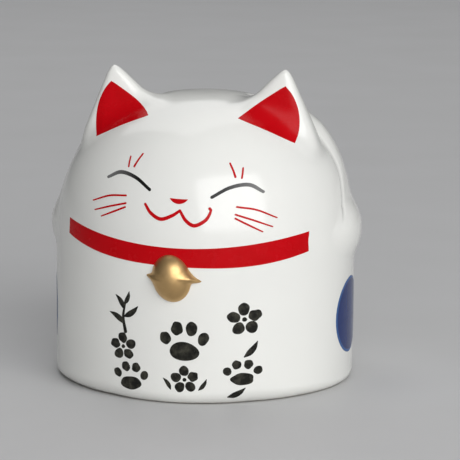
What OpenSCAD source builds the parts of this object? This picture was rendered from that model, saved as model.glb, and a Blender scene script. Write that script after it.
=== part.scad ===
// Beckoning cat coin bank: a hollow slip-cast ceramic cat with raised paws, a raised gold bell,
// fired-on colour transfers and a soft stopper in its base.
// The cat faces -Y. The origin is the centre of its footprint box, on the ground.

/* [Body] */
// Radius of the round body
body_r = 53; // [45:1:60]
// Height of the top of the head, without the ears
head_top = 101; // [96:1:108]
// Height at which the wall starts to curve inwards
shoulder_z = 46; // [40:1:50]
// Fullness of the head's curve: 2 is an ellipse and larger is squarer
fullness = 2.4; // [2.0:0.1:2.8]
// Radius of the rounding where the wall meets the foot
foot_edge_r = 4; // [3:0.5:7]
// Thickness of the fired wall
wall = 4.5; // [3.5:0.5:6]

/* [Base and coin slot] */
// Depth of the recess inside the foot ring
recess_depth = 2.6; // [2:0.2:4]
// Radius of the recess inside the foot ring
recess_r = 40; // [30:1:43]
// Radius of the hole that the stopper closes
hole_r = 16; // [12:1:20]
// Length of the coin slot
slot_length = 34; // [30:1:38]
// Height of the coin slot
slot_height = 5; // [4.5:0.5:6]
// Height of the middle of the coin slot, on the back of the head
slot_z = 80; // [76:1:84]

/* [Ears, arms and bell] */
// Height of the ear tips
ear_top = 111; // [106:1:116]
// How far the elbow stands out from the body
elbow_proud = 3; // [2:0.2:5]
// How far the bell stands out from the body
bell_proud = 4.6; // [3:0.2:6]
// Height of the middle of the bell
bell_z = 43.9; // [40:0.1:46]
// Radius of the round part of the bell
bell_r = 7.1; // [6:0.1:8]

/* [Transfers] */
// Thickness of the fired-on transfers
transfer = 0.3; // [0.2:0.05:0.5]
// Turn of the face transfer about the nose, clockwise as the cat is looked at
face_tilt = 2.2; // [0:0.1:4]

/* [Hidden] */
$fn = 96;

// The bell reaches past the front of the body, so the body's axis sits this far behind the origin.
axis_y = bell_proud / 2;
// Steps in the curve of the head, and in the rounding of the foot.
dome_steps = 15;
foot_steps = 4;
// Half the width of the collar, and the heights of its edges in front, on a front view.
collar_half = 42;
collar_top = 54.3;
collar_low = 48;
// Middle of the face, which face_tilt turns about.
face_z = 70;
// Widths of the drawn lines.
eye_line = 1.15;
mouth_line = 1.15;
whisker_line = 0.6;
// Stopper.
flange_r = 20;
flange_t = 1.5;
stopper_gap = 0.3;
stopper_bead = 1.0;
base_top = recess_depth + wall;
// Flank spots: the direction they face, counted from the front, their height and radius.
spot_turn = 85;
spot_z = 24.2;
spot_r = 13.6;

// ---- the surface of revolution -------------------------------------------------------------

// Points down the curve of the head, from the shoulder to the top, for a head swollen by grow.
function dome_points(grow) = [
    for (i = [0 : dome_steps])
        let (a = 90 * i / dome_steps)
        [(body_r + grow) * pow(cos(a), 2 / fullness),
         shoulder_z + (head_top - shoulder_z + grow) * pow(sin(a), 2 / fullness)]
];

// Points round the rounding of the foot, from the ground up to the wall.
function foot_points(grow) = [
    for (i = [0 : foot_steps])
        let (a = 90 * (1 - i / foot_steps))
        [body_r - foot_edge_r + (foot_edge_r + grow) * cos(a),
         foot_edge_r - (foot_edge_r + grow) * sin(a)]
];

module outer_solid(grow = 0) {
    rotate_extrude()
        polygon(concat([[0, -grow]], foot_points(grow), dome_points(grow)));
}

module cavity() {
    rotate_extrude()
        polygon(concat([[0, base_top], [body_r - wall, base_top]], dome_points(-wall)));
}

// Moves a piece drawn round the body's own axis into the row's frame.
module place() {
    translate([0, axis_y, 0])
        children();
}

// The shell of thickness transfer that lies on the body, cut to a 2D outline seen from a direction.
// turn = 0 looks at the cat's front, and a positive turn goes round to its left.
module on_body(turn = 0) {
    intersection() {
        difference() {
            outer_solid(transfer);
            outer_solid(0);
        }
        rotate([0, 0, turn])
            rotate([90, 0, 0])
                linear_extrude(height = body_r * 1.2)
                    children();
    }
}

// A left piece, or the same piece on the cat's right.
module side(is_left) {
    if (is_left)
        children();
    else
        mirror([1, 0, 0])
            children();
}

// A drawing on the cat's left, or the same one mirrored: it sits nearer to the nose and higher.
module face_side(is_left) {
    if (is_left)
        children();
    else
        translate([0.9, 0.9])
            scale([-1, 1])
                children();
}

// The face is drawn upright and turned a little as one.
module face_turn() {
    translate([0, face_z])
        rotate(-face_tilt)
            translate([0, -face_z])
                children();
}

// ---- drawn lines ---------------------------------------------------------------------------

// A point on the curve through three points: p at t = 0, q at t = 0.5 and r at t = 1.
function through(p, q, r, t) =
    p * (1 - t) * (1 - 2 * t) + q * 4 * t * (1 - t) + r * t * (2 * t - 1);

function unit(v) = v / norm(v);
function left_of(v) = [-v[1], v[0]];

// A brush line through three points, full in the middle and thinner at both ends.
module brush(p, q, r, width, ends = 0.5, steps = 12) {
    spine = [for (i = [0 : steps]) through(p, q, r, i / steps)];
    normals = [
        for (i = [0 : steps])
            left_of(unit(spine[min(i + 1, steps)] - spine[max(i - 1, 0)]))
    ];
    half = [
        for (i = [0 : steps])
            width / 2 * (ends + (1 - ends) * pow(sin(180 * i / steps), 0.6))
    ];
    polygon(concat(
        [for (i = [0 : steps]) spine[i] + normals[i] * half[i]],
        [for (i = [steps : -1 : 0]) spine[i] - normals[i] * half[i]]
    ));
}

// ---- the cast pieces -----------------------------------------------------------------------

module body_shell() {
    color("ghostwhite")
        place()
            difference() {
                outer_solid();
                cavity();
                translate([0, 0, -1])
                    cylinder(h = recess_depth + 1, r = recess_r);
                cylinder(h = base_top + 1, r = hole_r);
                translate([-slot_length / 2, 0, slot_z - slot_height / 2])
                    cube([slot_length, body_r, slot_height]);
            }
}

// One ear with no cut at its foot: a leaning wedge between three balls. It is the cat's left one.
module ear_solid(grow = 0) {
    tip_r = 3;
    foot_r = 8;
    hull() {
        translate([30.2, -13, ear_top - tip_r])
            sphere(r = tip_r + grow, $fn = 32);
        translate([34.2, -10, 86])
            sphere(r = foot_r + grow, $fn = 32);
        translate([18, -10, 89])
            sphere(r = foot_r + grow, $fn = 32);
    }
}

module ear(is_left) {
    color("ghostwhite")
        place()
            side(is_left)
                difference() {
                    ear_solid();
                    outer_solid();
                }
}

// A ball at a place round the body: turn is counted from the front and out from the body's axis.
module ball(turn, out, z, r, flat = [1, 1, 1]) {
    rotate([0, 0, turn - 90])
        translate([out, 0, z])
            scale(flat)
                sphere(r = r, $fn = 32);
}

// The raised arm lies against the head: elbow, forearm and paw.
module arm(is_left) {
    elbow_r = 18;
    forearm_r = 14;
    paw_r = 13;
    broad = [1, 1.5, 1];
    color("ghostwhite")
        place()
            side(is_left)
                difference() {
                    union() {
                        ball(93, body_r + elbow_proud - elbow_r, 54, elbow_r, [1, 1.3, 0.9]);
                        hull() {
                            ball(95, body_r + 0.7 - forearm_r, 57, forearm_r, broad);
                            ball(99, 36.5, 70, forearm_r, broad);
                        }
                        hull() {
                            ball(99, 36.5, 70, forearm_r, broad);
                            ball(102, 31, 82.5, paw_r);
                        }
                    }
                    outer_solid();
                    ear_solid();
                }
}

// The bell without its cut: a long ball, and a pointed tip at each side that droops to the left.
module bell_solid() {
    stretch = 1.5;
    ball_lean = -1.3;
    ball_shift = -0.8;
    tip_lean = 4.4;
    tip_reach = 10.1;
    tip_root = 4.5;
    tip_forward = 2.6;
    tip_r = 2.8;
    middle_x = -0.7;
    translate([middle_x, -(body_r + bell_proud - bell_r), bell_z]) {
        translate([ball_shift, 0, 0])
            rotate([0, ball_lean, 0]) {
                translate([0, 0, -stretch])
                    cylinder(h = 2 * stretch, r = bell_r);
                for (end = [-1, 1])
                    translate([0, 0, end * stretch])
                        sphere(r = bell_r);
            }
        rotate([0, tip_lean, 0])
            for (end = [-1, 1])
                translate([0, -tip_forward, 0])
                    rotate([0, end * 90, 0])
                        translate([0, 0, tip_root])
                            cylinder(h = tip_reach - tip_root, r1 = tip_r, r2 = 0.3);
    }
}

module bell() {
    color("goldenrod")
        place()
            difference() {
                bell_solid();
                outer_solid();
            }
}

// Soft plug: a flange in the recess, a barrel in the hole and a rounded bead above the floor.
module stopper() {
    barrel_r = hole_r - stopper_gap;
    flange_top = recess_depth - 0.2;
    barrel_top = base_top + 2.4;
    color("whitesmoke")
        place()
            difference() {
                union() {
                    translate([0, 0, flange_top - flange_t])
                        cylinder(h = flange_t, r = flange_r);
                    translate([0, 0, flange_top - 0.1])
                        cylinder(h = barrel_top - flange_top, r = barrel_r - 0.6);
                    translate([0, 0, base_top - 1.5])
                        cylinder(h = stopper_bead * 2, r = barrel_r);
                }
                // Finger recess in the underside.
                translate([0, 0, -1])
                    cylinder(h = barrel_top - 1.2, r = barrel_r - 3.6);
            }
}

// ---- the transfers -------------------------------------------------------------------------

// A band that droops in front, a little unevenly. u runs from -1 to 1 across the cat.
module collar() {
    steps = 20;
    function top_edge(u) = [collar_half * u, collar_top - 0.7 * u + 4.5 * pow(u, 2)];
    function low_edge(u) = [collar_half * u, collar_low - 1.4 * u + 4.7 * pow(abs(u), 3)];
    color("crimson")
        place()
            difference() {
                on_body()
                    polygon(concat(
                        [for (i = [0 : steps]) top_edge(2 * i / steps - 1)],
                        [for (i = [steps : -1 : 0]) low_edge(2 * i / steps - 1)]
                    ));
                bell_solid();
            }
}

// A soft triangle: flat on top, round underneath.
module nose() {
    color("crimson")
        place()
            on_body()
                face_turn()
                    intersection() {
                        translate([-5, 60])
                            square([10, 10.7]);
                        translate([0.25, 72.8])
                            circle(r = 3.8, $fn = 48);
                    }
}

// Two shallow bows that meet below the nose. Each is brushed down, and up again.
module mouth() {
    color("crimson")
        place()
            on_body()
                face_turn() {
                    brush([-11.3, 67.9], [-9.4, 64.9], [-5.4, 63.6], mouth_line, 0.8);
                    brush([-6.1, 63.6], [-2.3, 64.6], [1.0, 66.9], mouth_line, 0.8);
                    brush([0.8, 67.0], [3.2, 63.7], [6.4, 62.3], mouth_line, 0.8);
                    brush([5.7, 62.4], [9.9, 63.8], [11.2, 67.9], mouth_line, 0.8);
                }
}

module eye(is_left) {
    color("dimgray")
        place()
            on_body()
                face_turn()
                    face_side(is_left) {
                        brush([11.2, 71.8], [15.8, 74.7], [21.4, 76.0], eye_line, 0.75);
                        brush([20.8, 76.0], [24.8, 75.4], [27.4, 73.7], eye_line, 0.75);
                    }
}

module brow_marks(is_left) {
    color("crimson")
        place()
            on_body()
                face_turn()
                    face_side(is_left) {
                        brush([15.6, 82.6], [17.0, 80.4], [18.0, 78.4], 0.9);
                        brush([20.0, 81.2], [20.1, 79.6], [20.1, 78.1], 0.8);
                    }
}

module whiskers(is_left) {
    color("crimson")
        place()
            on_body()
                face_turn()
                    face_side(is_left) {
                        brush([19.6, 68.9], [26.0, 67.9], [32.4, 65.2], whisker_line);
                        brush([19.4, 66.4], [25.4, 64.5], [31.3, 62.3], whisker_line);
                        brush([19.5, 65.1], [24.0, 62.9], [28.4, 60.7], whisker_line);
                    }
}

// Red lining on the front of an ear, which runs down on to the head below it.
module ear_lining(is_left) {
    color("firebrick")
        place()
            side(is_left)
                intersection() {
                    difference() {
                        union() {
                            ear_solid(transfer);
                            outer_solid(transfer);
                        }
                        ear_solid();
                        outer_solid();
                    }
                    // Only the front of the ear, ahead of the middle of its thickness, is lined.
                    translate([0, -12.5, 0])
                        rotate([90, 0, 0])
                            linear_extrude(height = body_r)
                                polygon([[15.7, 95.1], [25.1, 91.4], [35, 86.6], [35.8, 90],
                                    [35.9, 94], [35.1, 98.4], [33.2, 102.6], [30.8, 105.6],
                                    [28.4, 104.2], [21.6, 99.6]]);
                }
}

module flank_spot(is_left) {
    color("midnightblue")
        place()
            side(is_left)
                on_body(turn = spot_turn)
                    translate([0, spot_z])
                        circle(r = spot_r);
}

// A pad with four toes.
module paw_print(across, up) {
    scale([across, up]) {
        translate([0, -0.22])
            circle(r = 0.27, $fn = 32);
        for (end = [-1, 1]) {
            translate([end * 0.38, 0.1])
                circle(r = 0.13, $fn = 24);
            translate([end * 0.15, 0.32])
                circle(r = 0.135, $fn = 24);
        }
    }
}

// Five round petals with an open heart.
module blossom(size) {
    scale(size)
        difference() {
            for (i = [0 : 4])
                rotate(90 + 72 * i)
                    translate([0.3, 0])
                        circle(r = 0.2, $fn = 32);
            circle(r = 0.12, $fn = 24);
        }
}

// A leaf pointing up and to one side.
module leaf(size, lean) {
    rotate(lean)
        scale(size)
            intersection() {
                translate([-0.4, 0])
                    circle(r = 0.62, $fn = 48);
                translate([0.4, 0])
                    circle(r = 0.62, $fn = 48);
            }
}

// Two leaves on a short stem.
module sprig(size) {
    for (end = [-1, 1])
        translate([end * size * 0.28, size * 0.1])
            leaf(size * 0.8, -end * 38);
    translate([-0.45, -size * 0.5])
        square([0.9, size * 0.5]);
}

module ink(x) {
    color("darkslategray")
        place()
            on_body()
                translate([x, 0])
                    children();
}

module ink_centre() {
    ink(3) {
        translate([0, 22.2])
            paw_print(16.6, 14.4);
        translate([0.2, 9.1])
            blossom(9.8);
        for (end = [-1, 1])
            translate([end * 6.4, 7.2])
                leaf(4.6, -end * 35);
    }
}

module ink_right() {
    ink(-18.8) {
        translate([0, 30.4])
            sprig(11);
        translate([0, 18.8])
            blossom(9.8);
        translate([2.9, 9])
            paw_print(12.4, 9.4);
    }
}

module ink_left() {
    ink(22.8) {
        translate([0, 29.9])
            blossom(11.2);
        translate([1.8, 19.4])
            leaf(6.8, -38);
        translate([-0.5, 11.4])
            paw_print(12.6, 8.6);
        translate([-2.4, 4.4])
            leaf(6.2, -62);
    }
}

body_shell();
ear(true);  // ear_left
ear(false);  // ear_right
arm(true);  // arm_left
arm(false);  // arm_right
bell();
stopper();
collar();
nose();
mouth();
eye(true);  // eye_left
eye(false);  // eye_right
brow_marks(true);  // brow_marks_left
brow_marks(false);  // brow_marks_right
whiskers(true);  // whiskers_left
whiskers(false);  // whiskers_right
ear_lining(true);  // ear_lining_left
ear_lining(false);  // ear_lining_right
flank_spot(true);  // flank_spot_left
flank_spot(false);  // flank_spot_right
ink_left();
ink_centre();
ink_right();
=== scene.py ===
"""Looks for the beckoning cat coin bank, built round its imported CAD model.

The ceramic is one smooth field: body, ears and arms, flowing into each other as slip-cast ware
does. It is meshed, then parted where the castings are luted together. The fired-on transfers are
thin films laid on that field. Shapes are in millimetres round the body's own axis, with the cat
facing -Y, and go to the row's frame in metres as each piece is made.
"""

import math

import bpy
import numpy as np
from mathutils import Matrix, Vector
from mathutils.geometry import delaunay_2d_cdt


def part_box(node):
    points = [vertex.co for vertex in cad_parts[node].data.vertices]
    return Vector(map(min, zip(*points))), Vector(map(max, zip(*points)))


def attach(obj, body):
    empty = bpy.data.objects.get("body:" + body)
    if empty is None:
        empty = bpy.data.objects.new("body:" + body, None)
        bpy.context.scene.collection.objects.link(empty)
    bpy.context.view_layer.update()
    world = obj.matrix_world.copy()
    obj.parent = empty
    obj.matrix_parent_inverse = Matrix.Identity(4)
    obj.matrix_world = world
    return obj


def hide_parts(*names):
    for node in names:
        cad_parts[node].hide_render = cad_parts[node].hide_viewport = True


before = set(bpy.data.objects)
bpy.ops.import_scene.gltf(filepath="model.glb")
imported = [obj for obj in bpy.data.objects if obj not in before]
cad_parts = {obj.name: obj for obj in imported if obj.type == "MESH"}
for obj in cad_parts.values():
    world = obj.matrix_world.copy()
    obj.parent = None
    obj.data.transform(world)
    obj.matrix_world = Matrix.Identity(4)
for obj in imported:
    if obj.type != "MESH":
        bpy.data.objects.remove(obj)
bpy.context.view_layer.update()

MM = 0.001


def node_box(name):
    """A CAD node's lowest and highest corners, in millimetres."""
    return [np.array(corner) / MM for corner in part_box(name)]


# ---- driving dimensions ---------------------------------------------------------------------

body_low, body_high = node_box("body_shell")
stopper_low, stopper_high = node_box("stopper")
AXIS = np.array([0.0, (body_low[1] + body_high[1]) / 2, 0.0])  # the body's axis in the row frame
BODY_R = (body_high[0] - body_low[0]) / 2
HEAD_TOP = body_high[2]
BELL_FRONT = AXIS[1] - node_box("bell")[0][1]

SHOULDER_Z = 46.0  # above this the wall curves inwards
FULLNESS = 2.4  # of the head's curve: 2 is an ellipse
FOOT_EDGE_TURN = np.radians([-180, -90, -20, 0, 18, 29, 41, 55, 69, 84, 110, 180])
FOOT_EDGE_R = [4.0, 3.4, 3.4, 4.3, 5.0, 5.9, 5.2, 4.6, 3.2, 2.5, 3.4, 4.0]  # it is not even
WALL = 4.5
RECESS_R = 40.0  # inside the foot ring
RECESS_DEPTH = 2.6
HOLE_R = 16.0  # for the stopper
HOLE_TOP_MARGIN = 3.0  # how far above the base the cut for the hole goes
BASE_TOP = RECESS_DEPTH + WALL
CAVITY_CORNER_R = 4.0  # round the floor of the cavity
SLOT_HALF = np.array([17.0, 2.5])  # coin slot: half its length and height
SLOT_Z = 80.0
WAVE_DEPTH = 0.07  # cast walls are never quite true

SPOT_TURN = math.radians(85)  # the way a flank spot faces, counted from the front
SPOT_Z = 24.2
SPOT_R = 13.6

FACE_Z = 70.0  # middle of the face, which is turned by FACE_TILT about it
FACE_TILT = math.radians(2.2)
RIGHT_FACE_SHIFT = 0.9  # the right eye, brow and whiskers are this much nearer the nose, and higher


# ---- fields: distance to a surface in millimetres, below zero inside -------------------------


def smooth_min(a, b, k):
    """The lower of two fields, with a fillet about k wide where they cross."""
    h = np.clip(0.5 + 0.5 * (b - a) / k, 0, 1)
    return b * (1 - h) + a * h - k * h * (1 - h)


def smooth_max(a, b, k):
    """The higher of two fields, rounded off about k wide where they cross."""
    return -smooth_min(-a, -b, k)


def ellipsoid(p, radii):
    """Distance to an ellipsoid round the origin, near its surface."""
    near = np.sqrt(((p / radii) ** 2).sum(1))
    steep = np.sqrt(((p / radii**2) ** 2).sum(1)) + 1e-9
    return near * (near - 1) / steep


def eased(heights, values):
    """A function of height that runs through values, with its corners rounded."""
    pitch, reach = 0.5, 7  # reach is how many pitches a corner is rounded over, each way
    fine = np.arange(heights[0], heights[-1] + pitch, pitch)
    table = np.pad(np.interp(fine, heights, values), reach, mode="edge")
    table = np.convolve(table, np.hanning(2 * reach + 3)[1:-1] / (reach + 1), "valid")
    return lambda z: np.interp(z, fine, table)


def body_field(p):
    """The round body: foot rounding, straight wall, and the domed head as a superellipse."""
    out, z = np.hypot(p[:, 0], p[:, 1]), p[:, 2]
    up = np.maximum(z - SHOULDER_Z, 0) / (HEAD_TOP - SHOULDER_Z)
    wall = BODY_R * ((out / BODY_R) ** FULLNESS + up**FULLNESS) ** (1 / FULLNESS) - BODY_R
    edge_r = np.interp(np.arctan2(p[:, 0], -p[:, 1]), FOOT_EDGE_TURN, FOOT_EDGE_R)
    foot = np.hypot(np.maximum(out - BODY_R + edge_r, 0), edge_r - z) - edge_r
    return np.where(z < edge_r, foot, wall)


# An ear's four faces, as where each stands at the height of its foot and of its tip.
EAR_FOOT_Z, EAR_TIP_Z = 86.0, 108.0
EAR_ROOT_Z = 80.0  # where it ends inside the head
EAR_SOFT_FOOT, EAR_SOFT_TIP = 2.6, 1.2  # how rounded its edges are
EAR_FACES = [
    # axis, outward sign, at the foot, at the tip
    (1, -1, -18.0, -16.0),  # front
    (1, 1, -2.0, -10.0),  # back
    (0, 1, 42.5, 33.1),  # outer side
    (0, -1, 3.3, 25.6),  # inner side
]


def ear_field(p):
    """A leaning four-sided wedge with soft edges, which sharpen towards its tip."""
    share = (p[:, 2] - EAR_FOOT_Z) / (EAR_TIP_Z - EAR_FOOT_Z)
    soft = EAR_SOFT_FOOT - (EAR_SOFT_FOOT - EAR_SOFT_TIP) * np.clip(share, 0, 1)
    total = np.exp(np.clip((EAR_ROOT_Z - p[:, 2]) / soft, -60, 60))
    for axis, sign, foot, tip in EAR_FACES:
        slope = (tip - foot) / (EAR_TIP_Z - EAR_FOOT_Z)
        away = sign * (p[:, axis] - foot - (tip - foot) * share) / math.hypot(1, slope)
        total = total + np.exp(np.clip(away / soft, -60, 60))
    return soft * np.log(total)


# The raised arm is a relief on the body. Its middle line runs from the elbow up to the paw.
ELBOW_Z, PAW_Z = 56.0, 90.0
ELBOW_END, PAW_END = 9.8, 9.0  # how far it reaches below and above that line
ELBOW_PROUD = node_box("arm_left")[1][0] - BODY_R
ARM_Z = [ELBOW_Z, 60, 65, 70, 76, 82, PAW_Z]
arm_turn = eased(ARM_Z, np.radians([93, 95, 98, 100, 101, 102, 102]))  # counted from the front
arm_half_width = eased(ARM_Z, [19, 16.5, 17, 15.3, 11.5, 11.2, 12])
arm_proud = eased(ARM_Z, [ELBOW_PROUD - 0.2, 1.9, 0.2, 0.5, 1.15, 1.7, 2.6])
CREASE_DEPTH, CREASE_HALF_WIDTH = 0.85, 0.85
CREASE_Z = [58, 66]  # it starts at the first height and has its full depth from the second up
EAR_MEETING_SLOPE = 0.6  # how fast the arm's and the ear's fields part where the two meet
ELBOW_BLEND, PAW_BLEND = 4.0, 0.8  # fillets round the arm
BLEND_Z = [56, 64]  # where the one passes into the other
EAR_BLEND, EAR_BLEND_OUTSIDE = 6.0, 2.0  # the hollow is tighter below the ear's outer corner
EAR_BLEND_X = [33, 42]  # where the one passes into the other


def arm_field(p, body):
    """The arm's soft relief, and how far a place is outside the arm's outline."""
    z = p[:, 2]
    line_z = np.clip(z, ELBOW_Z, PAW_Z)
    half_width = arm_half_width(line_z)
    aside = (np.arctan2(p[:, 0], -p[:, 1]) - arm_turn(line_z)) * np.hypot(p[:, 0], p[:, 1])
    along = (z - line_z) / np.where(z < ELBOW_Z, ELBOW_END, PAW_END)
    share = np.minimum(np.hypot(aside / half_width, along), 3)
    return body - arm_proud(line_z) * (1 - share**3), (share - 1) * half_width


def both_sides(p):
    """The same places on the cat's left, since its two sides match."""
    return np.stack([np.abs(p[:, 0]), p[:, 1], p[:, 2]], 1)


def parts_at(p):
    """The fields of the body, ear and arm, and how far a place is outside the arm's crease."""
    q = both_sides(p)
    body, ear = body_field(q), ear_field(q)
    arm, outline = arm_field(q, body)
    return body, ear, arm, smooth_max(outline, (arm - ear) / EAR_MEETING_SLOPE, 1.5)


def crease_share(p, edge):
    """How deep the crease round the raised arm is, from 0 to 1. It fades out at the elbow."""
    return np.exp(-((edge / CREASE_HALF_WIDTH) ** 2)) * np.interp(p[:, 2], CREASE_Z, [0, 1])


def outer_field(p):
    """The glazed outside: the parts with their fillets, and the crease along the raised arm."""
    body, ear, arm, edge = parts_at(p)
    ear_blend = np.interp(np.abs(p[:, 0]), EAR_BLEND_X, [EAR_BLEND, EAR_BLEND_OUTSIDE])
    arm_blend = np.interp(p[:, 2], BLEND_Z, [ELBOW_BLEND, PAW_BLEND])
    cast = smooth_min(smooth_min(body, ear, ear_blend), arm, arm_blend)
    cast = cast + CREASE_DEPTH * crease_share(p, edge)
    wave = np.sin(p[:, 0] / 9 + 1) * np.sin(p[:, 1] / 10 + 2) * np.sin(p[:, 2] / 12)
    return cast + WAVE_DEPTH * wave


def shell_field(p):
    """The hollow shell, with its recess, stopper hole and coin slot."""
    out, z = np.hypot(p[:, 0], p[:, 1]), p[:, 2]
    cavity = smooth_max(body_field(p) + WALL, BASE_TOP - z, CAVITY_CORNER_R)
    recess = smooth_max(out - RECESS_R, z - RECESS_DEPTH, 1.5)
    hole = np.maximum(out - HOLE_R, z - BASE_TOP - HOLE_TOP_MARGIN)
    corner_r = SLOT_HALF[1] - 0.1
    side = np.abs(np.stack([p[:, 0], z - SLOT_Z], 1)) - (SLOT_HALF - corner_r)
    slot = np.hypot(*np.maximum(side, 0).T) - corner_r
    slot = np.where(p[:, 1] > 0, slot, np.maximum(slot, -p[:, 1]))  # through the back only
    shell = smooth_max(outer_field(p), -cavity, 1.0)
    for opening, edge in ((recess, 1.0), (hole, 1.0), (slot, 1.4)):
        shell = smooth_max(shell, -opening, edge)
    return shell


BELL_TILT = math.radians(4.4)
BELL_RADII = np.array([7.1, 7.1, 8.6])  # of the round part
BELL_LEAN = 0.1  # of the round part, against the tilt
BELL_SHIFT = 0.8  # of the round part, to the cat's right
BELL_BRIM = np.array([10.1, 5.0, 1.4])  # of the flat part, which makes the two points
BELL_CENTRE = np.array([-0.7, -(BELL_FRONT - BELL_RADII[1]), 43.9])
BELL_SINK = 1.5  # how far its back goes into the body


def bell_field(p):
    """A round bell drawn out to a point at each side, with a wide fillet above the left one."""
    q = p - BELL_CENTRE
    c, s = math.cos(BELL_TILT), math.sin(BELL_TILT)
    q = np.stack([c * q[:, 0] - s * q[:, 2], q[:, 1], s * q[:, 0] + c * q[:, 2]], 1)
    ball = np.stack([q[:, 0] + BELL_SHIFT + BELL_LEAN * q[:, 2], q[:, 1], q[:, 2]], 1)
    upper_left = np.clip(q[:, 0] / 6, 0, 1) * np.clip(q[:, 2] / 1.5 + 0.6, 0, 1)
    lower_right = np.clip(-q[:, 0] / 6, 0, 1) * np.clip(-q[:, 2] / 1.5 + 0.6, 0, 1)
    fillet = 1.0 + 2.6 * upper_left + 1.4 * lower_right
    return smooth_min(ellipsoid(ball, BELL_RADII), ellipsoid(q, BELL_BRIM), fillet)


def gradient(field, p):
    """Which way, and how fast, a field rises."""
    step = 0.02
    sides = []
    for axis in np.eye(3) * step:
        sides.append((field(p + axis) - field(p - axis)) / (2 * step))
    return np.stack(sides, 1)


def unit(v):
    """The same directions, each of length 1."""
    return v / np.maximum(np.linalg.norm(v, axis=-1, keepdims=True), 1e-9)


# ---- meshing --------------------------------------------------------------------------------


def in_chunks(field, p, size=400_000):
    """A field at many points, worked out a part at a time to save memory."""
    return np.concatenate([field(p[i : i + size]) for i in range(0, len(p), size)])


def ends_of(faces):
    """The directed edges of equal-sided faces, as pairs of point numbers."""
    count = faces.shape[1]
    return np.concatenate([faces[:, [i, (i + 1) % count]] for i in range(count)])


def unpaired(ends, count):
    """The directed edges that no other face runs the other way along."""
    forward, back = ends[:, 0] * count + ends[:, 1], ends[:, 1] * count + ends[:, 0]
    return ends[~np.isin(forward, back)]


def surface_net(field, low, high, step):
    """Points and outward-facing quads where field is zero, one point to each crossed grid cell."""
    counts = np.ceil((np.array(high) - low) / step).astype(int) + 1
    axes = [low[i] + step * np.arange(counts[i]) for i in range(3)]
    places = np.stack(np.meshgrid(*axes, indexing="ij"), -1)
    values = in_chunks(field, places.reshape(-1, 3)).reshape(counts)
    total = np.zeros((*(counts - 1), 3))
    hits = np.zeros(counts - 1)
    for axis in range(3):
        # Where the surface cuts each grid line, added to the four cells round that line.
        order = [axis, (axis + 1) % 3, (axis + 2) % 3]
        v, at = values.transpose(order), places.transpose([*order, 3])
        a, b = v[:-1], v[1:]
        cut = (a < 0) != (b < 0)
        share = np.where(cut, a / np.where(cut, a - b, 1), 0)[..., None]
        point = np.where(cut[..., None], at[:-1] * (1 - share) + at[1:] * share, 0)
        cell_total, cell_hits = total.transpose([*order, 3]), hits.transpose(order)
        for j in (slice(0, -1), slice(1, None)):
            for k in (slice(0, -1), slice(1, None)):
                cell_total += point[:, j, k]
                cell_hits += cut[:, j, k]
    used = hits > 0
    number = np.full(used.shape, -1)
    number[used] = np.arange(used.sum())
    quads = []
    for axis in range(3):
        order = [axis, (axis + 1) % 3, (axis + 2) % 3]
        v, n = values.transpose(order)[:, 1:-1, 1:-1], number.transpose(order)
        for rising in (True, False):
            inner, outer = (v[:-1], v[1:]) if rising else (v[1:], v[:-1])
            i, j, k = np.nonzero((inner < 0) & (outer >= 0))
            quad = np.stack([n[i, j, k], n[i, j + 1, k], n[i, j + 1, k + 1], n[i, j, k + 1]], 1)
            quads.append(quad if rising else quad[:, ::-1])
    return total[used] / hits[used][:, None], np.concatenate(quads)


def onto(field, p, rounds=3):
    """Moves points on to the surface of a field."""
    for _ in range(rounds):
        slope = gradient(field, p)
        steep = np.maximum((slope**2).sum(1, keepdims=True), 0.04)
        p = p - slope * np.clip(field(p)[:, None] / steep, -1, 1)
    return p


def settled(field, p, quads, passes=3):
    """Evens out a net's points and brings them on to its surface."""
    ends = ends_of(quads)
    near, far = np.concatenate([ends, ends[:, ::-1]]).T
    degree = np.bincount(near, minlength=len(p))[:, None]
    p = onto(field, p, 2)
    for _ in range(passes):
        around = [np.bincount(near, p[far, i], minlength=len(p)) for i in range(3)]
        p = onto(field, p + 0.5 * (np.stack(around, 1) / degree - p), 2)
    return p


def add_piece(name, points, faces, material, stands_for, body="cat", normals=None):
    """Makes a smooth-shaded mesh from points in millimetres round the body's axis."""
    mesh = bpy.data.meshes.new(name)
    mesh.from_pydata(((points + AXIS) * MM).tolist(), [], [list(face) for face in faces])
    mesh.shade_smooth()
    if normals is not None:
        mesh.normals_split_custom_set_from_vertices(unit(normals).tolist())
    mesh.materials.append(material)
    piece = bpy.data.objects.new(name, mesh)
    bpy.context.scene.collection.objects.link(piece)
    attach(piece, body)
    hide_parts(*stands_for)
    return piece


# ---- materials ------------------------------------------------------------------------------


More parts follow.
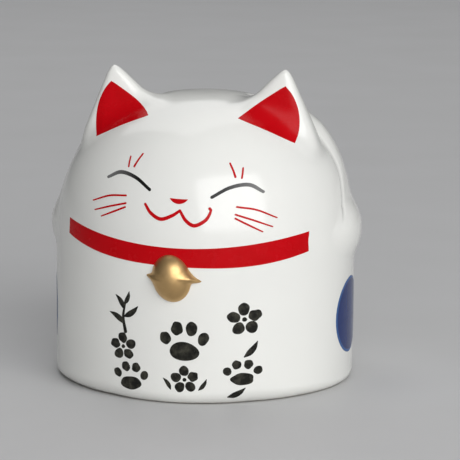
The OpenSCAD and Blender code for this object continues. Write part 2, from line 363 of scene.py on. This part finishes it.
class Finish:
    """A Principled material, whose varied sockets are fed by short chains of nodes."""

    def __init__(self, name, constants):
        self.material = bpy.data.materials.new(name)
        self.material.use_nodes = True
        self.tree = self.material.node_tree
        self.shader = self.tree.nodes["Principled BSDF"]
        self.place = self.add("ShaderNodeTexCoord").outputs["Object"]
        for socket, value in constants.items():
            self.shader.inputs[socket].default_value = value

    def add(self, kind, settings=(), **inputs):
        """A node with its settings and inputs; an input is a value or another node's output."""
        node = self.tree.nodes.new(kind)
        for key, value in dict(settings).items():
            setattr(node, key, value)
        for key, value in inputs.items():
            self.feed(node.inputs[key.replace("_", " ").title()], value)
        return node

    def feed(self, socket, value):
        """Links another node's output to a socket, or sets the socket's own value."""
        if isinstance(value, bpy.types.NodeSocket):
            self.tree.links.new(value, socket)
        else:
            socket.default_value = value

    def noise(self, size_mm, detail=2.0, shift=0.0):
        """Noise from 0 to 1 whose blotches are about size_mm across."""
        moved = self.math("ADD", self.place, (shift,) * 3, vector=True)
        node = self.add("ShaderNodeTexNoise", Vector=moved, Scale=1 / (size_mm * MM), Detail=detail)
        return node.outputs["Fac"]

    def math(self, operation, a, b=0.0, c=0.0, vector=False):
        """The result of a sum on numbers, or on vectors."""
        kind = "ShaderNodeVectorMath" if vector else "ShaderNodeMath"
        node = self.add(kind, {"operation": operation})
        for socket, value in zip(node.inputs, (a, b, c)):
            if not (vector and value == 0.0):
                self.feed(socket, value)
        return node.outputs["Vector" if vector and operation != "DISTANCE" else "Value"]

    def height_mm(self):
        """Height above the ground."""
        split = self.add("ShaderNodeSeparateXYZ", Vector=self.place)
        return self.math("DIVIDE", split.outputs["Z"], MM)

    def span(self, value, low, high, out_low=0.0, out_high=1.0):
        """value taken from low..high to out_low..out_high, and held there beyond."""
        node = self.add("ShaderNodeMapRange", {"clamp": True})
        for key, number in zip(
            ("Value", "From Min", "From Max", "To Min", "To Max"),
            (value, low, high, out_low, out_high),
        ):
            self.feed(node.inputs[key], number)
        return node.outputs["Result"]

    def blend(self, share, low, high):
        """A colour from low to high."""
        node = self.add("ShaderNodeMix", {"data_type": "RGBA"})
        for index, value in zip((0, 6, 7), (share, low, high)):
            if isinstance(value, tuple):
                value = (*value, 1.0)
            self.feed(node.inputs[index], value)
        return node.outputs[2]

    def colour(self, value):
        self.feed(self.shader.inputs["Base Color"], value)

    def roughness(self, value):
        self.feed(self.shader.inputs["Roughness"], value)

    def bump(self, height, depth_mm):
        node = self.add("ShaderNodeBump", Height=height, Distance=depth_mm * MM)
        self.feed(self.shader.inputs["Normal"], node.outputs["Normal"])


def white_glaze():
    """Clear gloss over white stoneware, bare on the foot. It is greyer in the creases and round the
    ears: partly glaze that pools there, partly painted shade.
    """
    finish = Finish("white_glaze_finish", {"IOR": 1.5})
    tone = finish.blend(finish.noise(28), (0.80, 0.80, 0.765), (0.86, 0.86, 0.815))
    pool_and_shade = finish.add("ShaderNodeAttribute", {"attribute_name": "pool_and_shade"}).outputs["Fac"]
    # Grey in the creases and round the ears: painted shade, together with the glaze that pools
    # there.
    glazed = finish.blend(pool_and_shade, tone, (0.42, 0.42, 0.41))
    bare_clay = finish.blend(finish.noise(0.9, 4), (0.62, 0.58, 0.51), (0.74, 0.71, 0.65))
    bare = finish.span(finish.math("ADD", finish.height_mm(), finish.noise(2.0)), 0.95, 1.25, 1, 0)
    finish.colour(finish.blend(bare, glazed, bare_clay))
    gloss = finish.span(finish.noise(11, 3), 0.3, 0.7, 0.12, 0.18)
    finish.roughness(finish.math("MULTIPLY_ADD", bare, 0.7, gloss))
    finish.bump(finish.noise(7.0, 1.5, 0.3), 0.035)
    return finish.material


def gold_lustre():
    """Brushed-on gold: satin, with faint streaks and a fine grain."""
    finish = Finish("gold_lustre_finish", {"Metallic": 1.0})
    finish.colour(finish.blend(finish.noise(3.5, 3), (0.55, 0.35, 0.15), (0.67, 0.45, 0.21)))
    finish.roughness(finish.span(finish.noise(1.6, 4, 0.2), 0.3, 0.7, 0.34, 0.46))
    finish.bump(finish.noise(0.35, 3), 0.012)
    return finish.material


def red_enamel():
    """Gloss red, a little denser in some places than in others."""
    finish = Finish("red_enamel_finish", {"IOR": 1.5, "Specular IOR Level": 0.12})
    finish.colour(finish.blend(finish.noise(9, 3), (0.46, 0.0, 0.002), (0.56, 0.0, 0.005)))
    finish.roughness(finish.span(finish.noise(4, 3, 0.1), 0.3, 0.7, 0.2, 0.3))
    finish.bump(finish.noise(0.5, 3), 0.008)
    return finish.material


def eye_enamel_and_sheen():
    """Black that fades to grey at the outer end of each closed eye: a painted sheen, standing in
    for the reflection of a broad light.
    """
    finish = Finish("eye_enamel_finish", {"IOR": 1.5, "Specular IOR Level": 0.2})
    split = finish.add("ShaderNodeSeparateXYZ", Vector=finish.place)
    away = finish.math("DIVIDE", finish.math("ABSOLUTE", split.outputs["X"]), MM)
    # The grey towards the outer ends is painted sheen.
    outer_end_sheen = finish.span(finish.math("MULTIPLY_ADD", finish.noise(1.5, 3), 2.0, away), 16, 27)
    finish.colour(finish.blend(outer_end_sheen, (0.009, 0.009, 0.008), (0.17, 0.17, 0.165)))
    finish.roughness(finish.span(finish.noise(4, 3), 0.3, 0.7, 0.14, 0.24))
    return finish.material


def ink_enamel():
    """Brushed black, thinner and browner where the brush ran dry."""
    finish = Finish("ink_enamel_finish", {"IOR": 1.5, "Specular IOR Level": 0.2})
    dry = finish.span(finish.noise(2.2, 5, 0.4), 0.42, 0.72)
    finish.colour(finish.blend(dry, (0.009, 0.009, 0.007), (0.05, 0.048, 0.036)))
    finish.roughness(finish.span(finish.noise(3, 3), 0.3, 0.7, 0.16, 0.3))
    return finish.material


def blue_enamel():
    """Deep blue with a paler line round its rim, partly thicker enamel at the edge and partly a
    painted sheen.
    """
    finish = Finish("blue_enamel_finish", {"IOR": 1.5, "Specular IOR Level": 0.15})
    split = finish.add("ShaderNodeSeparateXYZ", Vector=finish.place)
    aside = finish.math("ABSOLUTE", split.outputs["X"])  # both spots are the same
    place = finish.add("ShaderNodeCombineXYZ", X=aside, Y=split.outputs["Y"], Z=split.outputs["Z"])
    centre = np.array([math.sin(SPOT_TURN), -math.cos(SPOT_TURN), 0]) * BODY_R
    centre = tuple((centre + AXIS + [0, 0, SPOT_Z]) * MM)
    out = finish.math("DISTANCE", place.outputs["Vector"], centre, vector=True)
    # The paler rim: partly thicker enamel, partly painted sheen.
    rim = finish.span(out, (SPOT_R - 1.1) * MM, (SPOT_R - 0.7) * MM)
    deep = finish.blend(finish.noise(8, 3), (0.010, 0.024, 0.115), (0.018, 0.040, 0.165))
    finish.colour(finish.blend(rim, deep, (0.035, 0.105, 0.30)))
    finish.roughness(finish.span(finish.noise(4, 3), 0.3, 0.7, 0.12, 0.2))
    return finish.material


def stopper_rubber():
    """Soft milky plastic with a faint mould grain and handling marks."""
    finish = Finish("stopper_rubber_finish", {"Subsurface Weight": 0.15, "Subsurface Scale": 0.002})
    finish.colour(finish.blend(finish.noise(6, 4), (0.66, 0.65, 0.60), (0.78, 0.77, 0.73)))
    finish.roughness(finish.span(finish.noise(2.5, 4), 0.3, 0.7, 0.45, 0.62))
    finish.bump(finish.noise(0.3, 3), 0.02)
    return finish.material


def paper_floor():
    """Matt grey paper."""
    finish = Finish("floor_finish", {"Roughness": 0.6})
    finish.colour(finish.blend(finish.noise(60), (0.56, 0.56, 0.555), (0.60, 0.60, 0.60)))
    return finish.material


# ---- drawing in two dimensions: across and up, as the cat is looked at ------------------------


def smooth_line(points, steps=8):
    """Points along a curve that runs through the given ones."""
    p = np.array(points, float)
    p = np.concatenate([[2 * p[0] - p[1]], p, [2 * p[-1] - p[-2]]])
    t = np.linspace(0, 1, steps, endpoint=False)[:, None]
    stretches = []
    for a, b, c, d in zip(p, p[1:], p[2:], p[3:]):
        bend = (2 * a - 5 * b + 4 * c - d) * t**2 + (3 * b - a - 3 * c + d) * t**3
        stretches.append(0.5 * (2 * b + (c - a) * t + bend))
    return np.concatenate([*stretches, p[-2:-1]])


def stroke(points, widths):
    """A brush line through points, as wide at each as widths say: its outline and middle line."""
    line = smooth_line(np.column_stack([points, widths]))
    middle, half = line[:, :2], line[:, 2:] / 2
    ahead = unit(np.gradient(middle, axis=0))
    aside = np.stack([-ahead[:, 1], ahead[:, 0]], 1)
    swing = np.linspace(-90, 90, 9)[1:-1, None] * math.pi / 180
    tip = middle[-1] + half[-1] * (np.sin(swing) * aside[-1] + np.cos(swing) * ahead[-1])
    tail = middle[0] - half[0] * (np.sin(swing) * aside[0] + np.cos(swing) * ahead[0])
    outline = [middle - half * aside, tip, (middle + half * aside)[::-1], tail]
    return np.concatenate(outline), middle


def blob(x, z, across, up, lean=0.0, wobble=0.0, seed=0):
    """A round dab of ink with a slightly uneven edge."""
    turn = np.linspace(0, 2 * math.pi, 40, endpoint=False)
    dice = np.random.default_rng(seed)
    uneven = 1 + wobble * sum(
        dice.uniform(-1, 1) * np.cos(n * turn + dice.uniform(0, 6.28)) for n in (2, 3, 5)
    )
    lean = math.radians(lean)
    side, rise = across / 2 * np.cos(turn) * uneven, up / 2 * np.sin(turn) * uneven
    outline = np.stack([side * math.cos(lean) - rise * math.sin(lean),
                        side * math.sin(lean) + rise * math.cos(lean)], 1)
    return outline + [x, z], np.array([[x, z]])


def mirrored(shapes):
    """The same shapes on the other side, with their outlines still anticlockwise."""
    return [(outline[::-1] * [-1, 1], middle * [-1, 1]) for outline, middle in shapes]


def mirrored_face(shapes):
    """A drawing for the cat's right: it sits a little nearer to the nose, and higher."""
    return [(outline + RIGHT_FACE_SHIFT, middle + RIGHT_FACE_SHIFT)
            for outline, middle in mirrored(shapes)]


def tilted(shapes):
    """The face's shapes, turned a little about its middle."""
    c, s = math.cos(FACE_TILT), math.sin(FACE_TILT)
    turn = np.array([[c, -s], [s, c]])
    centre = np.array([0, FACE_Z])
    return [((outline - centre) @ turn + centre, (middle - centre) @ turn + centre)
            for outline, middle in shapes]


def is_inside(points, outline):
    """Which points lie inside a closed outline: those that it passes an odd number of times."""
    a, b = outline, np.roll(outline, -1, axis=0)
    x, z = points[:, :1], points[:, 1:]
    spans = (a[:, 1] > z) != (b[:, 1] > z)
    rise = np.where(a[:, 1] == b[:, 1], 1, b[:, 1] - a[:, 1])
    crossing = a[:, 0] + (z - a[:, 1]) * (b[:, 0] - a[:, 0]) / rise
    return (spans & (x < crossing)).sum(1) % 2 == 1


def edge_distance(points, starts, ends):
    """How far each point is from the nearest of some line segments."""
    along = ends - starts
    away = points[:, None] - starts
    share = (away * along).sum(2) / np.maximum((along**2).sum(1), 1e-12)
    return np.linalg.norm(away - np.clip(share, 0, 1)[..., None] * along, axis=2).min(1)


def filled(shapes, pitch):
    """Triangles over closed outlines, which may overlap, with points inside about pitch apart."""
    corners, faces, inner = [], [], []
    for outline, middle in shapes:
        faces.append(list(range(len(corners), len(corners) + len(outline))))
        corners += list(outline)
        low, high = outline.min(0), outline.max(0)
        grid = np.stack(np.meshgrid(np.arange(low[0], high[0], pitch),
                                    np.arange(low[1], high[1], pitch)), -1).reshape(-1, 2)
        deep = edge_distance(grid, outline, np.roll(outline, -1, axis=0)) > pitch * 0.45
        inner += list(middle) + list(grid[deep & is_inside(grid, outline)])
    flat = [Vector(p) for p in corners + inner]
    found = delaunay_2d_cdt(flat, [], faces, 1, 1e-5)
    return np.array([tuple(v) for v in found[0]]), np.array(found[2])


FILM_RIM = 0.04  # how far a transfer stands proud of the glaze at its edge
FILM_RISE = 0.12  # how much more it does further in
FILM_EDGE = 0.35  # the width over which it rises
FILM_FOOT = 0.15  # how far it is sunk


def traced(flat, turn):
    """Where a look at the cat from a direction meets the glaze."""
    across = np.array([math.cos(turn), math.sin(turn), 0])
    out = np.array([math.sin(turn), -math.cos(turn), 0])
    p = flat[:, :1] * across + flat[:, 1:] * [0, 0, 1] + out * BODY_R * 1.25
    steps, caution = 45, 0.85  # each step goes a little less far than the field says
    for _ in range(steps):
        p = p - out * caution * outer_field(p)[:, None]
    return p


def add_film(name, node, shapes, material, pitch=0.8, turn=0.0):
    """Lays a transfer on the glaze: a thin closed skin that thins towards its edge."""
    flat, triangles = filled(shapes, pitch)
    rim = unpaired(ends_of(triangles), len(flat))
    depth = edge_distance(flat, flat[rim[:, 0]], flat[rim[:, 1]])
    height = FILM_RIM + FILM_RISE * np.sqrt(np.clip(depth / FILM_EDGE, 0, 1))[:, None]
    glaze = traced(flat, turn)
    normals = unit(gradient(outer_field, glaze))
    points = np.concatenate([glaze + normals * height, glaze - normals * FILM_FOOT])
    n = len(flat)
    sides = [[b, a, a + n, b + n] for a, b in rim.tolist()]
    faces = triangles.tolist() + (triangles[:, ::-1] + n).tolist() + sides
    both_ways = np.concatenate([normals, -normals])
    add_piece(name, points, faces, material, [node], normals=both_ways)


# ---- the castings ---------------------------------------------------------------------------


SEAM_DEPTH = 2.4  # of the middle of the hidden faces between two castings, below the body
SKIN_DEPTH = 1.0  # whatever lies deeper in the body than this is its inside


def in_largest_patch(quads, chosen):
    """The chosen faces that hang together in the largest patch."""
    faces = quads[chosen]
    label = np.arange(quads.max() + 1)
    while True:
        lowest = label[faces].min(1)
        if (label[faces] == lowest[:, None]).all():
            break
        np.minimum.at(label, faces.ravel(), np.repeat(lowest, 4))
        label = label[label]
    kept = chosen.copy()
    kept[chosen] = lowest == np.bincount(lowest).argmax()
    return kept


def castings(points, quads):
    """The faces of the body, ears and arms, each closed where it is luted to the others."""
    middle = points[quads].mean(1)
    body, ear, _, edge = parts_at(middle)
    outside = body > -SKIN_DEPTH
    kinds = {"ear": outside & (ear < body) & (edge >= 0), "arm": outside & (edge < 0)}
    on_body = np.full(len(quads), True)
    found, hubs, body_faces = {}, [], []
    for kind, chosen in kinds.items():
        for side, here in (("left", middle[:, 0] > 0), ("right", middle[:, 0] <= 0)):
            patch = in_largest_patch(quads, chosen & here)
            on_body &= ~patch
            faces = quads[patch]
            seam = unpaired(ends_of(faces), len(points))
            hub = len(points) + len(hubs)
            start = points[seam[:, 0]].mean(0, keepdims=True)
            hubs.append(onto(lambda p: body_field(p) + SEAM_DEPTH, start, 6))
            found[f"{kind}_{side}"] = faces.tolist() + [[b, a, hub] for a, b in seam.tolist()]
            body_faces += [[a, b, hub] for a, b in seam.tolist()]
    found["body_shell"] = quads[on_body].tolist() + body_faces
    return found, np.concatenate([points, *hubs])


POOL_AND_SHADE_BY_EAR = 0.15  # how much the glaze pools and shade is painted round the ears, where a crease's middle is 1
POOL_AND_SHADE_BY_EAR_WIDTH = 2.0


def add_ceramic(material):
    """Meshes the whole shell, parts it into castings and notes where the glaze pools and where
    shade is painted into the creases and round the ears.
    """
    margin = 2.0
    reach = BODY_R + ELBOW_PROUD + margin
    low, high = [-reach, -BODY_R - margin, -1.3], [reach, BODY_R + margin, EAR_TIP_Z + 5]
    step = 0.85
    points, quads = surface_net(shell_field, low, high, step)
    points = settled(shell_field, points, quads)
    found, points = castings(points, quads)
    normals = gradient(shell_field, points)
    body, ear, _, edge = parts_at(points)
    # Painted shade in the creases and round the ears, together with the glaze pooling there, which
    # greys the glaze.
    pool_and_shade_by_ear = POOL_AND_SHADE_BY_EAR * np.exp(-(((body - ear) / POOL_AND_SHADE_BY_EAR_WIDTH) ** 2))
    pool_and_shade = np.maximum(crease_share(points, edge), pool_and_shade_by_ear) * (body > -SKIN_DEPTH)
    for node, faces in found.items():
        used = np.unique(np.concatenate([np.array(f) for f in faces]))
        number = np.full(len(points), -1)
        number[used] = np.arange(len(used))
        own = [[int(number[v]) for v in face] for face in faces]
        piece = add_piece(f"glazed_{node}", points[used], own, material, [node],
                          normals=normals[used])
        attribute = piece.data.attributes.new("pool_and_shade", "FLOAT", "POINT")
        attribute.data.foreach_set("value", pool_and_shade[used].astype(np.float32))


def add_bell(material):
    """Meshes the bell down to where it is stuck to the body."""

    def clipped(p):
        return np.maximum(bell_field(p), -BELL_SINK - body_field(p))

    reach = np.array([BELL_BRIM[0], BELL_RADII[1], BELL_RADII[2]]) + 1
    step = 0.3
    points, quads = surface_net(clipped, BELL_CENTRE - reach, BELL_CENTRE + reach, step)
    points = settled(clipped, points, quads, 2)
    add_piece("gold_bell", points, quads.tolist(), material, ["bell"])


def rounded_profile(corners, steps=6):
    """A profile from corners given as out, up and how far from the corner its rounding starts."""
    p = np.array(corners, float)
    line = []
    for before, here, after in zip(np.roll(p, 1, axis=0), p, np.roll(p, -1, axis=0)):
        corner, r = here[:2], here[2]
        if r == 0:
            line.append(corner)
            continue
        a, b = unit(before[:2] - corner), unit(after[:2] - corner)
        for t in np.linspace(0, 1, steps):
            line.append(corner + r * (a * (1 - t) ** 2 + b * t**2))
    return np.array(line)


def revolved(profile, steps=144):
    """Points and faces of a profile turned about the axis. Its first and last points are on it."""
    turn = np.linspace(0, 2 * math.pi, steps, endpoint=False)
    ring = np.stack([np.cos(turn), np.sin(turn)], 1)
    rings = [np.column_stack([ring * out, np.full(steps, up)]) for out, up in profile[1:-1]]
    points = np.concatenate([*rings, [[0, 0, profile[0][1]], [0, 0, profile[-1][1]]]])
    faces = []
    count = len(rings)
    bottom, top = count * steps, count * steps + 1
    for i in range(steps):
        j = (i + 1) % steps
        faces.append([bottom, j, i])
        faces.append([top, (count - 1) * steps + i, (count - 1) * steps + j])
        for level in range(count - 1):
            low, high = level * steps, (level + 1) * steps
            faces.append([low + i, low + j, high + j, high + i])
    return points, faces


def add_stopper(material):
    """A soft plug: flange with a moulded ring, barrel with a grip bead, and a finger recess."""
    base, top = stopper_low[2], stopper_high[2]
    flange_r = (stopper_high[0] - stopper_low[0]) / 2
    flange_top = RECESS_DEPTH - 0.2
    barrel_r, bead_r, recess_r = HOLE_R - 0.9, HOLE_R - 0.3, HOLE_R - 3.9
    bead_low, bead_high, bead_slope = BASE_TOP - 1.2, BASE_TOP + 0.2, 0.4
    recess_top = top - 2.1
    ring_out, ring_in = flange_r - 1.6, flange_r - 2.6
    face = base + 0.25  # of the flange; the ring stands proud of it
    profile = rounded_profile([
        # out, up, rounding
        (0, recess_top, 0),
        (recess_r, recess_top, 1.2),
        (recess_r, face, 0.7),
        (ring_in, face, 0.2),
        (ring_in, base, 0.25),
        (ring_out, base, 0.25),
        (ring_out, face, 0.2),
        (flange_r, face, 0.4),
        (flange_r, flange_top, 0.4),
        (barrel_r, flange_top, 0.4),
        (barrel_r, bead_low - bead_slope, 0.3),
        (bead_r, bead_low, 0.4),
        (bead_r, bead_high, 0.4),
        (barrel_r, bead_high + bead_slope, 0.3),
        (barrel_r, top, 0.9),
        (0, top, 0),
    ])
    points, faces = revolved(profile)
    add_piece("rubber_stopper", points, faces, material, ["stopper"], body="plug")


# ---- the transfers --------------------------------------------------------------------------


def collar():
    """A painted band that droops in front, a little unevenly."""
    half, low_z, high_z = 42.0, 48.0, 54.3  # half its length, and its edges in the middle
    x = np.linspace(-half, half, 61)
    u = x / half
    low = np.stack([x, low_z - 1.4 * u + 4.7 * np.abs(u) ** 3], 1)
    high = np.stack([x, high_z - 0.7 * u + 4.5 * u**2], 1)
    return [(np.concatenate([low, high[::-1]]), (low + high)[1:-1] / 2)]


def nose():
    """A soft triangle: flat on top, round underneath."""
    middle, top, radius, centre_z = 0.25, 70.7, 3.8, 72.8
    half = math.sqrt(radius**2 - (top - centre_z) ** 2)
    swing = math.asin(half / radius)
    turn = np.linspace(-swing, swing, 21)
    arc = np.stack([middle + radius * np.sin(turn), centre_z - radius * np.cos(turn)], 1)
    return [(arc, np.array([[middle, 70.0]]))]


def mouth():
    """Two shallow bows, brushed one after the other, that meet below the nose."""
    widths = [0.9, 1.15, 1.25, 1.15, 0.9]
    return [stroke([[-11.3, 67.9], [-9.0, 65.2], [-5.4, 63.6], [-1.6, 65.0], [1.0, 66.9]], widths),
            stroke([[1.0, 66.9], [3.4, 63.7], [6.4, 62.3], [9.9, 64.3], [11.3, 67.2], [10.9, 68.1]],
                   widths + [1.0])]


def left_eye():
    """One closed, smiling eye."""
    return [stroke([[11.2, 71.8], [16.7, 75.0], [22.6, 76.0], [27.4, 73.7]],
                   [1.05, 1.15, 1.2, 0.9])]


def left_brow_marks():
    """Two short strokes above the eye."""
    return [stroke([[15.6, 82.6], [17.0, 80.4], [18.0, 78.4]], [0.55, 0.6, 0.7]),
            stroke([[20.0, 81.2], [20.1, 79.6], [20.1, 78.1]], [0.55, 0.6, 0.6])]


def left_whiskers():
    """Three whiskers that spread outwards."""
    rows = [
        [[19.6, 68.9], [26.0, 67.9], [32.4, 65.2]],
        [[19.4, 66.4], [25.4, 64.5], [31.3, 62.3]],
        [[19.5, 65.1], [24.0, 62.9], [28.4, 60.7]],
    ]
    return [stroke(row, [0.62, 0.62, 0.45]) for row in rows]


def left_ear_lining():
    """The red inside of the ear, which runs down on to the head."""
    inner, outer, tip = [15.7, 95.1], [35.0, 86.6], [30.8, 105.6]
    sides = [
        [inner, [25.1, 91.4], outer],
        [outer, [35.8, 90.0], [35.9, 94.0], [35.1, 98.4], [33.2, 102.6], tip],
        [tip, [28.4, 104.2], [21.6, 99.6], inner],
    ]
    outline = np.concatenate([smooth_line(side, 6)[:-1] for side in sides])
    return [(outline, outline.mean(0, keepdims=True))]


def flank_spot():
    """A plain round spot."""
    return [blob(0, SPOT_Z, 2 * SPOT_R, 2 * SPOT_R)]


def paw_print(x, z, across, up, seed):
    """A pad with four toes."""
    dabs = [
        # across, up, width, height, lean: all but the last are shares of the whole print
        (0, -0.23, 0.60, 0.46, 0),
        (-0.39, 0.08, 0.22, 0.32, 24),
        (0.39, 0.08, 0.22, 0.32, -24),
        (-0.15, 0.32, 0.24, 0.34, 8),
        (0.15, 0.32, 0.24, 0.34, -8),
    ]
    return [blob(x + a * across, z + b * up, w * across, h * up, lean, 0.05, seed + i)
            for i, (a, b, w, h, lean) in enumerate(dabs)]


def blossom(x, z, size, seed):
    """Five separate petals round an open heart, with a dot in it."""
    shapes = [blob(x, z, 0.14 * size, 0.14 * size, 0, 0.04, seed)]
    petals, first_turn, at = 5, 94, 0.32 * size
    for i in range(petals):
        turn = math.radians(first_turn + 360 / petals * i)
        shapes.append(blob(x + at * math.cos(turn), z + at * math.sin(turn), 0.38 * size,
                           0.34 * size, math.degrees(turn), 0.06, seed + 1 + i))
    return shapes


def leaf(x, z, length, lean):
    """One pressed brush dab, drawn out to a point. It leans clockwise from upright."""
    lean = math.radians(lean)
    ahead = np.array([math.sin(lean), math.cos(lean)])
    aside = np.array([ahead[1], -ahead[0]])
    points = [[x, z] + length * (t * ahead + 0.08 * math.sin(math.pi * t) * aside)
              for t in (0, 0.3, 0.65, 1)]
    return stroke(points, [0.08 * length, 0.30 * length, 0.26 * length, 0.04 * length])


def sprig(x, z, size):
    """A short stem with leaves on both sides."""
    stem = stroke([[x + 0.05 * size, z - 0.5 * size], [x - 0.02 * size, z - 0.1 * size],
                   [x + 0.04 * size, z + 0.3 * size]], [0.10 * size, 0.08 * size, 0.05 * size])
    # Up the stem, length, lean.
    leaves = [(-0.28, 0.52, -58), (-0.08, 0.52, 52), (0.12, 0.46, -34), (0.26, 0.40, 22)]
    return [stem] + [leaf(x + 0.01 * size, z + up * size, length * size, lean)
                     for up, length, lean in leaves]


def ink_centre():
    """A large paw print over a blossom between two leaves."""
    return (paw_print(3.0, 22.2, 16.6, 14.4, 10) + blossom(3.2, 9.1, 9.6, 20)
            + [leaf(-1.6, 5.6, 4.6, -35), leaf(8.0, 5.6, 4.6, 35)])


def ink_left():
    """A blossom over a paw print between two leaves, on the cat's left."""
    return (blossom(22.8, 29.9, 11.2, 30) + [leaf(22.9, 16.9, 6.6, 38)]
            + paw_print(22.3, 11.3, 12.6, 9.2, 60) + [leaf(17.6, 3.0, 6.4, 62)])


def ink_right():
    """A sprig over a blossom and a paw print, on the cat's right."""
    return (sprig(-18.6, 30.4, 12.4) + blossom(-18.8, 18.9, 9.6, 40)
            + paw_print(-15.9, 8.8, 12.6, 10.2, 50))


def add_transfers():
    """Lays all sixteen transfers. The numbers are how far apart their meshes' points are."""
    red, black, ink, blue = red_enamel(), eye_enamel_and_sheen(), ink_enamel(), blue_enamel()
    add_film("collar_band", "collar", collar(), red, 1.0)
    add_film("nose_patch", "nose", tilted(nose()), red, 0.5)
    add_film("mouth_line", "mouth", tilted(mouth()), red, 0.4)
    for kind, name, shapes, material in (
        ("eye", "eye_line", left_eye(), black),
        ("brow_marks", "brow_lines", left_brow_marks(), red),
        ("whiskers", "whisker_lines", left_whiskers(), red),
    ):
        add_film(f"{name}_left", f"{kind}_left", tilted(shapes), material, 0.4)
        add_film(f"{name}_right", f"{kind}_right", tilted(mirrored_face(shapes)), material, 0.4)
    lining = left_ear_lining()
    add_film("ear_patch_left", "ear_lining_left", lining, red)
    add_film("ear_patch_right", "ear_lining_right", mirrored(lining), red)
    for place, turn in (("left", SPOT_TURN), ("right", -SPOT_TURN)):
        add_film(f"blue_spot_{place}", f"flank_spot_{place}", flank_spot(), blue, turn=turn)
    for place, shapes in (("left", ink_left()), ("centre", ink_centre()), ("right", ink_right())):
        add_film(f"ink_motifs_{place}", f"ink_{place}", shapes, ink, 0.5)


# ---- the studio -----------------------------------------------------------------------------


def add_floor():
    """A wide sheet, a hair below the foot ring so that the two don't coincide."""
    half, level = 4.0, -0.02 * MM
    mesh = bpy.data.meshes.new("floor")
    corners = [(-half, -half, level), (half, -half, level), (half, half, level),
               (-half, half, level)]
    mesh.from_pydata(corners, [], [(0, 1, 2, 3)])
    mesh.materials.append(paper_floor())
    floor = bpy.data.objects.new("floor", mesh)
    bpy.context.scene.collection.objects.link(floor)


def add_softbox(name, place, target, size, power):
    """A rectangular light that faces its target. Lengths are in metres."""
    light = bpy.data.lights.new(name, "AREA")
    light.shape = "RECTANGLE"
    light.size, light.size_y = size
    light.energy = power
    lamp = bpy.data.objects.new(name, light)
    lamp.location = place
    lamp.rotation_euler = (Vector(target) - Vector(place)).to_track_quat("-Z", "Y").to_euler()
    bpy.context.scene.collection.objects.link(lamp)


def add_lights():
    """Broad soft lights in front and behind, in a room that darkens towards the back right."""
    middle = (0, 0, 0.05)
    add_softbox("key", (0.77, -1.21, 0.78), middle, (1.5, 1.2), 19.5)
    add_softbox("back", (-0.3, 1.1, 1.5), (0, 0.9, 0), (1.8, 1.4), 10)
    world = bpy.data.worlds.new("pale_room")
    world.use_nodes = True
    nodes, links = world.node_tree.nodes, world.node_tree.links
    place = nodes.new("ShaderNodeTexCoord").outputs["Generated"]
    facing = nodes.new("ShaderNodeVectorMath")
    facing.operation = "DOT_PRODUCT"
    facing.inputs[1].default_value = (0.5, -0.87, 0)
    links.new(place, facing.inputs[0])
    ramp = nodes.new("ShaderNodeMapRange")
    settings = {"From Min": -0.5, "From Max": 0.9, "To Min": 0.09, "To Max": 0.52}
    for socket, value in settings.items():
        ramp.inputs[socket].default_value = value
    links.new(facing.outputs["Value"], ramp.inputs["Value"])
    background = nodes["Background"]
    background.inputs["Color"].default_value = (0.95, 0.96, 1.0, 1)
    links.new(ramp.outputs["Result"], background.inputs["Strength"])
    bpy.context.scene.world = world
    bpy.context.scene.view_settings.view_transform = "Standard"


def add_camera():
    """A long lens in front of the cat, a little to its left and a little above it."""
    turn, rise, roll = math.radians(10.3), math.radians(10.5), math.radians(0.5)
    distance = 901.0
    aim_right, aim_up = 9.12, 50.2  # from the middle of the foot, in the picture's directions
    ahead = np.array([-math.sin(turn) * math.cos(rise), math.cos(turn) * math.cos(rise),
                      -math.sin(rise)])
    level = np.array([math.cos(turn), math.sin(turn), 0])
    upright = np.cross(level, ahead)
    right = math.cos(roll) * level + math.sin(roll) * upright
    up = -math.sin(roll) * level + math.cos(roll) * upright
    place = -ahead * distance + right * aim_right + up * aim_up
    data = bpy.data.cameras.new("camera")
    data.sensor_width = 36
    data.lens = 195.65
    camera = bpy.data.objects.new("camera", data)
    axes = Matrix(np.stack([right, up, -ahead], 1).tolist()).to_4x4()
    camera.matrix_world = Matrix.Translation((place + AXIS) * MM) @ axes
    bpy.context.scene.collection.objects.link(camera)
    bpy.context.scene.camera = camera


add_ceramic(white_glaze())
add_bell(gold_lustre())
add_stopper(stopper_rubber())
add_transfers()
add_floor()
add_lights()
add_camera()
